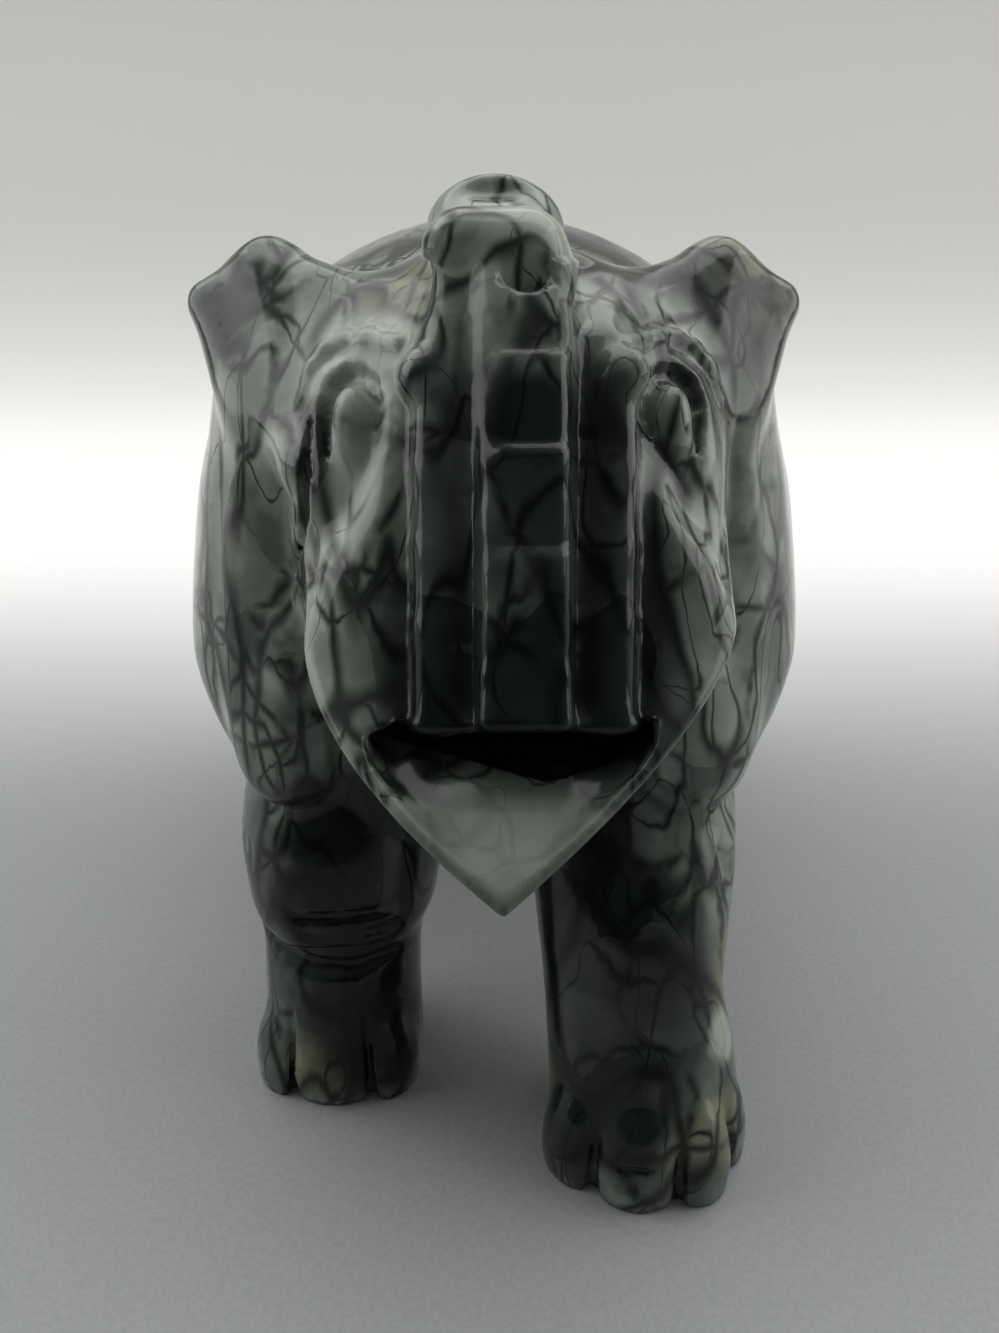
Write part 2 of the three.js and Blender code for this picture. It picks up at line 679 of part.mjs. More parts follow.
// The finished skin: the soles are cut flat on the ground.
const skin = thinned(outerSkin(findSkin()), TRIANGLES);
const number = new Map();
const vertProperties = [];
const triVerts = [];
for (const triangle of skin.triangles) {
  for (const p of triangle) {
    if (!number.has(p)) {
      number.set(p, number.size);
      vertProperties.push(...skin.points[p].map((v, axis) => v - HOME[axis]));
    }
    triVerts.push(number.get(p));
  }
}
const wasm = await Module();
wasm.setup();
const rough = new wasm.Manifold(new wasm.Mesh({
  numProp: 3,
  vertProperties: new Float32Array(vertProperties),
  triVerts: new Uint32Array(triVerts),
}));
const block = new THREE.BoxGeometry(400, 400, 40).translate(0, 0, -20 - HOME[2]);
block.deleteAttribute("normal");
block.deleteAttribute("uv");
const below = mergeVertices(block);
const ground = new wasm.Manifold(new wasm.Mesh({
  numProp: 3,
  vertProperties: new Float32Array(below.attributes.position.array),
  triVerts: new Uint32Array(below.index.array),
}));
const carved = rough.subtract(ground).getMesh();
const geometry = new THREE.BufferGeometry();
geometry.setAttribute("position", new THREE.BufferAttribute(new Float32Array(carved.vertProperties), 3));
geometry.setIndex(new THREE.BufferAttribute(new Uint32Array(carved.triVerts), 1));
geometry.computeVertexNormals();

const jade = new THREE.MeshStandardMaterial({ color: 0x5b665c, roughness: 0.22, metalness: 0 });
const elephant = new THREE.Mesh(geometry, jade);
elephant.name = "elephant";
const part = new THREE.Group();
part.add(elephant);

export default part;
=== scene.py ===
"""A carved jade elephant, striding with its trunk thrown up over its forehead: one piece of veined stone.

The stone is carved by the same steps as its solid, in the same order, and then carved finer.
Sizes are millimetres in the carver's own coordinates, and HOME is the point that becomes the origin.
"""

import math
from collections import namedtuple

import bpy
import numpy as np
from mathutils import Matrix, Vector


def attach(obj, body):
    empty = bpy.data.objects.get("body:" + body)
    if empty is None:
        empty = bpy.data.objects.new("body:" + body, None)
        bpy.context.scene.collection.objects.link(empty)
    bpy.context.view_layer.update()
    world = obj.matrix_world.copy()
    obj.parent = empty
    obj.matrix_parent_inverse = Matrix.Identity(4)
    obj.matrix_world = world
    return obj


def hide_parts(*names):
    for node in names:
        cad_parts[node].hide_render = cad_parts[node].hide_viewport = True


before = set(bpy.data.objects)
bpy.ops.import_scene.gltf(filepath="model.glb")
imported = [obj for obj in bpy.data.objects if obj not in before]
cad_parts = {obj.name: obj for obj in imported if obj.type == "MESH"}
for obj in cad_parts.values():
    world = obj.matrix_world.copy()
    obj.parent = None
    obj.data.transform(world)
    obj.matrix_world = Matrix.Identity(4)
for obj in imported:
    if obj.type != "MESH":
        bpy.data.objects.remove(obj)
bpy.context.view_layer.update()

MM = 0.001
HOME = (0.95, 0.05, 0.0)
SIDES = (-1, 1)

# Skin: the grid it is found on, in blocks, and the chunks in which the forms are reckoned.
# A form counts within BAND of a chunk, and stone thinner than SOLE above the ground is flat on it.
SKIN_CELL = 0.55
TRIANGLES = 186000
LOW = (-48.0, -76.0, -2.2)
HIGH = (48.0, 78.0, 108.0)
BLOCK = 8
FAR = 9
CHUNK = 11.0
CHUNK_REACH = 0.87 * CHUNK
CHUNK_KEY = 1009
NOWHERE = 1000
BAND = 6.0
SOLE = 0.12
PROBE = dict(front=-90, middle=-20, back=90, rump=30, step=0.2)
# How softly each form runs into the stone round it
SOFT = dict(
    barrel=1,
    neck=10,
    rump=14,
    leg=6,
    toe=0.9,
    toe_groove=0.6,
    toe_crease=0.5,
    fold=1.6,
    wrinkle=1.8,
    skull=7,
    cheek=5,
    muzzle=3,
    trunk=2,
    trunk_tip=2,
    nostril=0.8,
    scoop=0.5,
    trunk_edge=3,
    jaw=1,
    mouth=0.8,
    tusk_groove=3,
    tusk=2.6,
    brow=0.6,
    lid=0.7,
    eye=0.5,
    eye_bump=1.4,
    ear=1,
    lobe=3,
    roll=3.5,
    flap=3,
    slit=0.5,
    tail=1.5,
)

# Body, an egg in cross-section: fuller above its middle than below
BARREL = dict(middle=(1, 13, 58), radii=(42, 56, 42.8), below=30)
NECK = dict(middle=(1, -28, 66), radii=(21, 22, 29))
RUMP = dict(middle=(17, 41, 52), radii=(21, 24, 31))

# Legs, from the ground up: height, middle across and along, half-width across and along
POST = dict(steep=0.95, top=4, reach=24)
PLANTED = [
    (-3, -18.1, -33.4, 9.7, 9.8),
    (4, -18.1, -33.4, 10, 10.2),
    (14, -17.9, -33, 9.8, 9.8),
    (20, -17.6, -32.2, 10, 9.8),
    (24.5, -17.3, -31.4, 11.4, 11.4),
    (33, -17.2, -29, 12.4, 12.4),
    (42, -15.6, -25, 12.4, 13),
    (56, -12, -20, 10.5, 13),
]
STRIDING = [
    (-3, 19.1, -46.8, 10.8, 10.6),
    (4, 19.1, -46.8, 11.1, 11),
    (13, 18.4, -45.4, 10.8, 10.2),
    (20, 17.5, -43, 10.4, 9.8),
    (26, 17.4, -40.5, 11, 10.4),
    (34, 17.4, -36, 12, 11.6),
    (42, 16.6, -30, 12.6, 12),
    (56, 12, -23, 10.5, 12),
]
HIND_FORWARD = [
    (-3, -21, 35, 10.4, 10.4),
    (4, -21, 35, 10.7, 10.7),
    (14, -21, 36.4, 10.4, 10.2),
    (24, -20.6, 37.4, 11.4, 11.6),
    (34, -20, 38, 13.4, 15),
    (48, -18, 41, 17, 20),
    (64, -15, 42, 16, 20),
]
HIND_BACK = [
    (-3, 21, 50, 10.4, 10.4),
    (4, 21, 50, 10.7, 10.7),
    (14, 21, 51.4, 10.4, 10.2),
    (24, 20.6, 50, 11.4, 11.6),
    (34, 20, 47, 13.4, 15),
    (48, 18, 44, 17, 20),
    (64, 15, 42, 16, 20),
]
FOLD = [(-27.6, 22.8, 0.5), (-24.5, 21, 0.9), (-20.4, 19.9, 1), (-15, 19.6, 0.8), (-10.5, 20.2, 0.3)]
# Where each wrinkle starts and ends, and its height
WRINKLES = [(-21.5, -11, 27.2), (-20, -10.5, 24.6), (-21, -12, 22.2)]
WRINKLE = dict(radius=0.45, end=0.15, droop=(0.3, 0.2))
TOE = dict(inset=2.9, z=2.5, thick=3.4, high=9.5)
# The groove between two toes runs up the foot and thins out, and the crease crosses the middle toe.
TOE_GROOVE = dict(out=0.4, low=-1, radius=0.9, top=13, top_share=0.95, top_radius=0.15)
TOE_CREASE = dict(out=1.3, z=6.2, turn=16, radius=0.4)
# Each foot and its toes: which way each points, and its half-width
FEET = [
    (PLANTED, ((-54, 4), (-4, 5.2), (44, 3.6))),
    (STRIDING, ((-60, 4.2), (-11, 4.4), (33, 3.3), (66, 2.4))),
    (HIND_FORWARD, ((-62, 4), (-16, 4.4), (30, 4), (66, 3.2))),
    (HIND_BACK, ((-66, 3.2), (-30, 4), (16, 4.4), (62, 4))),
]

# Head
HEAD_X = 3.1
SKULL = dict(middle=(HEAD_X - 0.6, -34, 79), radii=(19.8, 19.4, 19.5))
CHEEK = dict(middle=(15.4, -42.6, 73), radii=(4.4, 7, 14))
JAW = dict(
    tip=(2.3, -73.4, 51.4),
    length=20,
    half_width=19.2,
    left=1.78,
    right=1.5,
    aside=1.6,
    rim=0.82,
    sweep=0.6,
    keel=46.2,
    back=-42,
    steep=0.77,
    keel_edge=4,
    rim_edge=1.6,
    back_edge=3,
)
JAW_SPACE = dict(middle=(HEAD_X, -56, 60), reach=30)
MUZZLE = dict(x=3.8, round=0.017, back=-42, top=94, side_steep=0.82, front_steep=0.93, edge=1.8, end=4)
MUZZLE_SPACE = dict(middle=(MUZZLE["x"], -52, 76), reach=34)
# Height, half-width and front of the muzzle
BELL = [
    (54, 9.5, -63),
    (61, 12.6, -61.4),
    (65, 16.6, -60.2),
    (68.5, 18.3, -59.2),
    (71.5, 17.5, -58.2),
    (74.5, 15.7, -57.2),
    (78, 12.8, -56),
    (84, 9.9, -53.8),
    (91, 8.2, -51),
    (99, 6.5, -46.5),
]
LIP = dict(y=-61, z=61, fall=0.42, steep=0.9, edge=1)
MOUTH = dict(
    dip=-0.4,
    slope=0.47,
    lip=11,
    flare=0.32,
    low_x=6,
    drop=4.6,
    wall=1.2,
    half_width=12.4,
    back=-44,
    steep=0.9,
    drop_run=3,
    edge=1,
    side_edge=2,
    back_edge=3,
)

# Trunk, thrown up over the forehead and curled at the tip
TRUNK_FLAT = 2.4
TRUNK_SUNK = 0.5
TRUNK = [
    ((4, -62.6, 60), 2.8),
    ((4, -59.7, 66), 2.8),
    ((3.6, -53.8, 82), 3),
    ((2.7, -48.8, 92), 4.2),
    ((2.4, -46, 97.4), 4.1),
    ((2, -41.5, 97.2), 4),
    ((1.6, -38.5, 98.5), 3.4),
]
TIP = dict(middle=(1.6, -38, 99.4), radii=(5.9, 4.6, 4.4))
NOSTRIL = dict(middle=(1.4, -41.4, 102.9), radii=(3.4, 1.9, 1.3))
SCOOP = dict(x=4.1, z=96.8, radii=(2.3, 0.9, 2.8))
TRUNK_EDGES = dict(x=(-1, 9.3), low=63, high=97, joints=9, radius=0.6)
PANEL = dict(x=4.8, inner=1.9, outer=3.9, depth=0.7, ledges=(90.7, 83.9, 76.2, 67))
TUSK = dict(x=4.1, out=7.2, low=62.5, high=87, radius=1.6, sunk=0.9, groove_out=9.7, groove=0.6)
TUSK_TAPER = (1, 1, 1, 0.9, 0.6)
TUSK_GROOVE_TAPER = (0.3, 0.8, 1, 0.8, 0.3)

# Eyes and brows
EYE = dict(out=13.7, z=83.1, ball=(1.9, 2.4, 4.1), sunk=1, lid_depth=0.5, brow_depth=0.1)
EYE_BUMP = dict(out=8.4, z=88.6, radius=1.9, sunk=0.7)
# Lines round the eye: outward and upward from its middle, and the radius of the line
LID_LINE = [
    (2.1, -1.5, 0.3),
    (2.3, 0.8, 0.5),
    (2.15, 2.4, 0.75),
    (1.5, 3.9, 0.9),
    (0.5, 4.7, 0.85),
    (-0.6, 4.8, 0.75),
    (-1.6, 4.2, 0.65),
    (-2.3, 3, 0.5),
    (-2.4, 1.6, 0.4),
    (-1.9, 0.2, 0.3),
]
BROW = [(5, 2.2, 0.6), (4, 4.8, 0.7), (2.7, 6.3, 0.75), (1, 7.2, 0.75), (-1.2, 7.5, 0.75), (-4.2, 7.4, 0.8)]

# Ears: a leaf that hugs the shoulder, and a flap rolled forward from its upper edge
EAR_X = 1.4
EAR = dict(
    front_y=-42.8,
    turn=4.6,
    splay=0.15,
    thickness=2.6,
    dish=1,
    top=(-24, 71.5),
    top_radius=20,
    low=(-33.4, 50.6),
    low_radius=11,
    middle=(30, -25, 68),
    reach=38,
    depth=40,
    rim_edge=2,
    dish_edge=(1, 6),
    face_edge=3,
)
# Height, how far out the leaf's front edge is, and how far it spreads from there
EAR_FRONT = [
    (38, 18, 9),
    (46, 20.6, 11.2),
    (54, 22.2, 11.8),
    (60, 21.8, 11.9),
    (67, 20.8, 11.8),
    (74, 19.8, 11.4),
    (80, 18.6, 10.8),
    (96, 16.5, 9.5),
]
LOBE = dict(middle=(22.4, -38.2, 48.6), radii=(5.4, 4.6, 8.2))
ROLL = [
    ((19.6, -41.4, 64), 0.8),
    ((20.6, -41.4, 58), 1.8),
    ((21.2, -41.2, 52), 2.2),
    ((21.6, -40.4, 47), 2.2),
]
# The slit between the left ear and the cheek, cut twice over so that it is deep
SLIT = [(15.9, 84, 0.3), (16.3, 80, 0.5), (16.8, 76, 0.6), (17.6, 72.8, 0.6), (19.2, 69, 0.4)]
SLIT_DEPTHS = (0.2, 1.2)
FLAP = dict(
    corner=((28.2, -28.5, 92.4), 2.4),
    crest=((22, -28.8, 95), 3),
    inner=((11.5, -36, 90), 5),
    foot=((17, -43.4, 79.6), 1.6),
)
# Across, height and radius
TAIL = [
    (0.5, 85, 3.4),
    (0.8, 76, 2.7),
    (2.4, 66, 2.3),
    (5.2, 57, 2.2),
    (8.6, 49.5, 2.9),
    (11, 42, 1.2),
]

# The stone's colours, and where its patches lie: place and radius. The deep colour is also laid as painted
# shade in some of the dark patches.
JADE = dict(
    pale=(0.24, 0.27, 0.22),
    middling=(0.1, 0.118, 0.098),
    milky=(0.4, 0.435, 0.37),
    deep=(0.008, 0.012, 0.0105),
    olive=(0.16, 0.165, 0.075),
    lip=(0.115, 0.128, 0.105),
    vein=(0.004, 0.006, 0.005),
)
STAINS = [
    ((28, -29, 95), 9),
    ((29, -44, 22), 8),
    ((-6, -42, 94), 6),
    ((24, -55, 7), 6),
    ((11, -52, 10), 7),
    ((-20, -43, 6), 6),
]
LIP_PATCH = ((2.3, -73, 50), 15)
PALE_PATCHES = [
    ((27, -50, 17), 4),
    ((5, -46, 100), 5),
    ((-11, -44, 90), 7),
    ((-9, -50, 87), 5),
    ((-10.6, -51, 81), 5),
]
# Dark patches: the first six are painted shade on the front of the muzzle and trunk and on the inner sides
# of the front legs, and the rest are dark stone
SHADE_AND_DARK_PATCHES = [
    ((5, -62, 70), 21),
    ((5, -57, 83), 11),
    ((9, -52, 30), 20),
    ((11, -58, 12), 13),
    ((-11, -42, 16), 17),
    ((-12, -42, 34), 15),
    ((22, 62, 44), 20),
    ((-27, 46, 68), 18),
    ((-20, 66, 34), 13),
    ((4, 52, 92), 15),
    ((-36, 12, 44), 16),
    ((38, 20, 62), 15),
    ((14, 4, 99), 14),
    ((20, 56, 10), 12),
    ((-24, 36, 22), 12),
]
# How close each pattern is, per metre
PATTERN = dict(cells=85, cloud=170, drift=38, bends=90, polish=320)
BENT = 0.008
VEIN_BENT = 0.0022
# How much each colour covers what is under it
SHARE = dict(
    cloud=0.75,
    drift=0.8,
    stain=0.6,
    pale=0.75,
    dark=0.97,
    dark_cells=0.8,
    lip=0.9,
    spared=0.75,
    vein=0.9,
)
POLISH = dict(
    ior=1.5,
    specular=0.24,
    coat=0.1,
    coat_roughness=0.06,
    smooth=0.12,
    dull=0.24,
    lip=0.3,
    bump=0.06,
)
# Strokes of vein: how they lean, how drawn out they are, how close and how wide
STROKES = [
    ((0.7, 0.35, 0.2), 0.32, 75, 0.06),
    ((-0.6, -0.5, 0.9), 0.32, 85, 0.055),
    ((0.15, 1.1, -0.4), 0.35, 115, 0.06),
    ((1.3, -0.3, 1.9), 0.4, 150, 0.055),
]

# Stage and light, in metres
SWEEP = dict(
    front=1.2,
    bend=0.45,
    radius=0.5,
    top=2.5,
    half_width=3,
    steps=12,
    roughness=0.55,
    # Painted light and shade along the sweep: grey in front, white behind the elephant, and a duller grey
    # up the curve
    fade=(0, 0.2),
    far=(0.28, 0.8),
    grey=(0.265, 0.272, 0.276),
    grey_grain=(0.29, 0.297, 0.3),
    white=(0.82, 0.82, 0.8),
    dull=(0.42, 0.42, 0.4),
)
# Each lamp: name, place, what it points at, size and power
LAMPS = [
    ("overhead", (0, 0.5, 1.1), (0, 0.1, 0.05), (2.4, 1.3), 20),
    ("left", (-1, 0.05, 0.5), (0, 0, 0.06), (0.9, 0.9), 6),
    ("right", (1, 0.05, 0.5), (0, 0, 0.06), (0.9, 0.9), 6),
]
STUDIO = dict(
    bright_way=(0, 0.55, 0.83),
    fade=(-0.25, 0.75),
    dark=(0.05, 0.055, 0.06),
    bright=(0.95, 0.97, 1),
    strength=0.34,
)
# The camera's place in the carver's coordinates, and its focal length and the picture's height in pixels
CAMERA = dict(place=(2, -135, 100), tilt=66, focal=1000, high=1333, sensor=36)

Form = namedtuple("Form", "middle reach distance")
Step = namedtuple("Step", "form blend away")
steps = []


def soft_min(a, b, k):
    h = np.maximum(k - np.abs(a - b), 0) / k
    return np.minimum(a, b) - h * h * k / 4


def soft_max(a, b, k):
    return -soft_min(-a, -b, k)


def smoothstep(t, low, high):
    u = np.clip((t - low) / (high - low), 0, 1)
    return u * u * (3 - 2 * u)


def egg(middle, radii, below=None):
    """An egg-shaped form, which may be flatter below its middle than above."""
    cx, cy, cz = middle
    rx, ry, rz = radii
    low = below or rz

    def distance(x, y, z):
        px, py, pz = x - cx, y - cy, z - cz
        r = np.where(pz > 0, rz, low)
        near = np.sqrt((px / rx) ** 2 + (py / ry) ** 2 + (pz / r) ** 2)
        steep = np.sqrt((px / rx**2) ** 2 + (py / ry**2) ** 2 + (pz / r**2) ** 2)
        return near * (near - 1) / np.maximum(steep, 1e-9)

    return Form(middle, max(rx, ry, rz, low), distance)


def bar(a, b, ra, rb=None):
    """A round bar between two points, with a radius of its own at each end."""
    rb = ra if rb is None else rb
    ax, ay, az = a
    ux, uy, uz = (q - p for p, q in zip(a, b))
    length_sq = ux * ux + uy * uy + uz * uz
    middle = tuple((p + q) / 2 for p, q in zip(a, b))

    def distance(x, y, z):
        px, py, pz = x - ax, y - ay, z - az
        t = np.clip((px * ux + py * uy + pz * uz) / length_sq, 0, 1)
        return np.sqrt((px - ux * t) ** 2 + (py - uy * t) ** 2 + (pz - uz * t) ** 2) - (ra + (rb - ra) * t)

    return Form(middle, math.sqrt(length_sq) / 2 + max(ra, rb), distance)


def plate(corners, radii):
    """A three-cornered plate with a radius of its own at each corner."""
    a, b, c = (np.array(p, float) for p in corners)
    ra, rb, rc = radii
    normal = np.cross(b - a, c - a)
    area_sq = normal @ normal
    unit = normal / math.sqrt(area_sq)
    to_b = np.cross(c - a, normal) / area_sq
    to_c = np.cross(normal, b - a) / area_sq
    edges = [bar(a, b, ra, rb), bar(b, c, rb, rc), bar(c, a, rc, ra)]
    middle = (a + b + c) / 3
    reach = max(np.linalg.norm(p - middle) for p in (a, b, c)) + max(radii)

    def distance(x, y, z):
        px, py, pz = x - a[0], y - a[1], z - a[2]
        v = px * to_b[0] + py * to_b[1] + pz * to_b[2]
        w = px * to_c[0] + py * to_c[1] + pz * to_c[2]
        u = 1 - v - w
        face = np.abs(px * unit[0] + py * unit[1] + pz * unit[2]) - (u * ra + v * rb + w * rc)
        edge = np.minimum.reduce([e.distance(x, y, z) for e in edges])
        return np.where((u >= 0) & (v >= 0) & (w >= 0), face, edge)

    return Form(tuple(middle), reach, distance)


def joined(k, forms):
    """Forms that run into one another over a width of k."""
    middle = tuple(sum(f.middle[i] for f in forms) / len(forms) for i in range(3))
    reach = max(math.dist(f.middle, middle) + f.reach for f in forms) + k

    def distance(x, y, z):
        d = forms[0].distance(x, y, z)
        for f in forms[1:]:
            d = soft_min(d, f.distance(x, y, z), k)
        return d

    return Form(middle, reach, distance)


def along(rows, t, column):
    """A value that runs smoothly through rows (at, value...), read at t."""
    at = np.array([row[0] for row in rows], float)
    value = np.array([row[column] for row in rows], float)
    last = len(rows) - 1
    n = np.clip(np.searchsorted(at, t, side="right") - 1, 0, last - 1)
    before, after = np.maximum(n - 1, 0), np.minimum(n + 2, last)
    width = at[n + 1] - at[n]
    u = np.clip((t - at[n]) / width, 0, 1)
    slope_a = (value[n + 1] - value[before]) / (at[n + 1] - at[before]) * width
    slope_b = (value[after] - value[n]) / (at[after] - at[n]) * width
    rise = value[n + 1] - value[n]
    square = 3 * rise - 2 * slope_a - slope_b
    cube = slope_a + slope_b - 2 * rise
    return value[n] + slope_a * u + square * u**2 + cube * u**3


def post(rows):
    """An upright form with an oval section at every height."""
    low, high = rows[0], rows[-1]
    middle = ((low[1] + high[1]) / 2, (low[2] + high[2]) / 2, (low[0] + high[0]) / 2)

    def distance(x, y, z):
        cx, cy, rx, ry = (along(rows, z, column) for column in (1, 2, 3, 4))
        near = np.sqrt(((x - cx) / rx) ** 2 + ((y - cy) / ry) ** 2)
        return soft_max((near - 1) * np.minimum(rx, ry) * POST["steep"], z - high[0], POST["top"])

    return Form(middle, (high[0] - low[0]) / 2 + POST["reach"], distance)


def limb(k, joints):
    """A limb through joints (point, radius), whose bars run into one another over a width of k."""
    return joined(k, [bar(p, q, rp, rq) for (p, rp), (q, rq) in zip(joints, joints[1:])])


def mirrored(side, about, point):
    return (about + side * point[0], point[1], point[2])


def mirrored_joints(side, about, joints):
    return [(mirrored(side, about, p), r) for p, r in joints]


def add(name, form):
    steps.append(Step(form, SOFT[name], False))


def cut(name, form):
    steps.append(Step(form, SOFT[name], True))


def stone(points):
    """Distance to the stone as carved so far.

    Forms too far from a chunk of points to matter to it are passed over.
    """
    points = np.asarray(points, float)
    found = np.empty(len(points))
    cells = np.floor(points / CHUNK).astype(int)
    keys = (cells[:, 0] * CHUNK_KEY + cells[:, 1]) * CHUNK_KEY + cells[:, 2]
    order = np.argsort(keys, kind="stable")
    starts = np.flatnonzero(np.diff(keys[order], prepend=keys[order[0]] - 1))
    for chunk in np.split(order, starts[1:]):
        middle = (cells[chunk[0]] + 0.5) * CHUNK
        x, y, z = points[chunk].T
        d = np.full(len(chunk), NOWHERE, float)
        for form, blend, away in steps:
            if math.dist(middle, form.middle) > form.reach + blend + BAND + CHUNK_REACH:
                continue
            part = form.distance(x, y, z)
            d = soft_max(d, -part, blend) if away else soft_min(d, part, blend)
        found[chunk] = np.maximum(d, -z)
    return found


def carve_body():
    add("barrel", egg(BARREL["middle"], BARREL["radii"], BARREL["below"]))
    add("neck", egg(NECK["middle"], NECK["radii"]))
    for side in SIDES:
        add("rump", egg(mirrored(side, 0, RUMP["middle"]), RUMP["radii"]))


def foot_point(rows, degrees, out, z):
    """A point out from the middle of a foot. A turn of 0 degrees points forward."""
    _, x, y, _, _ = rows[1]
    turn = math.radians(degrees)
    return (x + math.sin(turn) * out, y - math.cos(turn) * out, z)


def carve_legs():
    """Legs, with toes, a groove between two toes, and a crease over the middle toe."""
    for rows, _ in FEET:
        add("leg", post(rows))
    for rows, toes in FEET:
        radius = rows[1][3]
        for degrees, wide in toes:
            turn = math.radians(degrees)
            across = abs(math.cos(turn)) * wide + abs(math.sin(turn)) * TOE["thick"]
            deep = abs(math.sin(turn)) * wide + abs(math.cos(turn)) * TOE["thick"]
            place = foot_point(rows, degrees, radius - TOE["inset"], TOE["z"])
            add("toe", egg(place, (across, deep, TOE["high"])))
        for (before, wide_before), (after, wide_after) in zip(toes, toes[1:]):
            between = (before * wide_after + after * wide_before) / (wide_before + wide_after)
            low = foot_point(rows, between, radius + TOE_GROOVE["out"], TOE_GROOVE["low"])
            high = foot_point(rows, between, radius * TOE_GROOVE["top_share"], TOE_GROOVE["top"])
            cut("toe_groove", bar(low, high, TOE_GROOVE["radius"], TOE_GROOVE["top_radius"]))
        ends = [toes[1][0] + side * TOE_CREASE["turn"] for side in SIDES]
        out = radius + TOE_CREASE["out"]
        crease = [foot_point(rows, degrees, out, TOE_CREASE["z"]) for degrees in ends]
        cut("toe_crease", bar(*crease, TOE_CREASE["radius"]))


def carve_folds():
    """Folds of skin over the knee of the planted leg."""
    cut("fold", limb(0.5, laid(FOLD, -0.1)))
    for start, end, height in WRINKLES:
        droop_start, droop_end = WRINKLE["droop"]
        rows = [
            (start, height - droop_start, WRINKLE["end"]),
            ((start + end) / 2, height, WRINKLE["radius"]),
            (end, height - droop_end, WRINKLE["end"]),
        ]
        cut("wrinkle", limb(0.3, laid(rows)))


def under_lip(y, z):
    """Distance down from the upper lip, which rises forward from the front of the mouth."""
    line = LIP["z"] - (np.minimum(y, LIP["y"]) - LIP["y"]) * LIP["fall"]
    return (line - z) * LIP["steep"]


def rim_height(y):
    """Height of the lower jaw's rim."""
    return JAW["tip"][2] + (y - JAW["tip"][1]) * JAW["rim"]


def jaw_side(x, y, z):
    """Distance to the side of the pointed jaw, which is swept back and down from its rim."""
    under = np.maximum(0, rim_height(y) - z)
    t = np.clip((y - JAW["tip"][1] - under / (JAW["rim"] + JAW["sweep"])) / JAW["length"], -0.6, 1)
    middle = JAW["tip"][0] + JAW["aside"] * np.clip(t, 0, 1)
    point = np.where(x < middle, JAW["left"], JAW["right"])
    wide = JAW["half_width"] * (1 - (1 - t) ** point)
    steep = JAW["half_width"] * point / JAW["length"] * (1 - t) ** (point - 1)
    return (np.abs(x - middle) - wide) / np.sqrt(1 + steep**2)


def carve_muzzle():
    """The skull, the cheeks and the long bell-shaped muzzle, which ends at the upper lip."""
    add("skull", egg(SKULL["middle"], SKULL["radii"]))
    for side in SIDES:
        add("cheek", egg(mirrored(side, HEAD_X, CHEEK["middle"]), CHEEK["radii"]))

    def muzzle(x, y, z):
        aside = x - MUZZLE["x"]
        sides = (np.abs(aside) - along(BELL, z, 1)) * MUZZLE["side_steep"]
        front = (along(BELL, z, 2) + MUZZLE["round"] * aside**2 - y) * MUZZLE["front_steep"]
        face = soft_max(sides, front, MUZZLE["edge"])
        far_end = soft_max(y - MUZZLE["back"], z - MUZZLE["top"], MUZZLE["end"])
        return soft_max(soft_max(face, far_end, MUZZLE["end"]), under_lip(y, z), LIP["edge"])

    add("muzzle", Form(MUZZLE_SPACE["middle"], MUZZLE_SPACE["reach"], muzzle))


def panel_step(z):
    """How far the stepped panel stands out: each step comes forward to its upper ledge."""
    ledges = PANEL["ledges"]
    out = np.zeros_like(z)
    for top, low in zip(ledges, ledges[1:]):
        out = np.where((z > low) & (z <= top), PANEL["depth"] * (z - low) / (top - low), out)
    return out


def carve_trunk():
    """The trunk, with its stepped panel, its tip and nostril, and a soft groove down each edge."""
    axis = limb(0.6, [((0, y, z), radius) for (_, y, z), radius in TRUNK])
    rows = [(z, x) for (x, _, z), _ in TRUNK]

    def distance(x, y, z):
        aside = x - along(rows, z, 1)
        trunk = axis.distance(aside - np.clip(aside, -TRUNK_FLAT, TRUNK_FLAT), y, z)
        across = 1 - smoothstep(np.abs(x - PANEL["x"]), PANEL["inner"], PANEL["outer"])
        return soft_max(trunk + TRUNK_SUNK - panel_step(z) * across, under_lip(y, z), LIP["edge"])

    add("trunk", Form((2.5, *axis.middle[1:]), axis.reach + TRUNK_FLAT + PANEL["depth"], distance))
    add("trunk_tip", egg(TIP["middle"], TIP["radii"]))
    cut("nostril", egg(NOSTRIL["middle"], NOSTRIL["radii"]))
    cut("scoop", egg((SCOOP["x"], front_of(SCOOP["x"], SCOOP["z"]), SCOOP["z"]), SCOOP["radii"]))
    heights = np.linspace(TRUNK_EDGES["low"], TRUNK_EDGES["high"], TRUNK_EDGES["joints"])
    for x in TRUNK_EDGES["x"]:
        cut("trunk_edge", limb(0.5, laid([(x, z, TRUNK_EDGES["radius"]) for z in heights])))


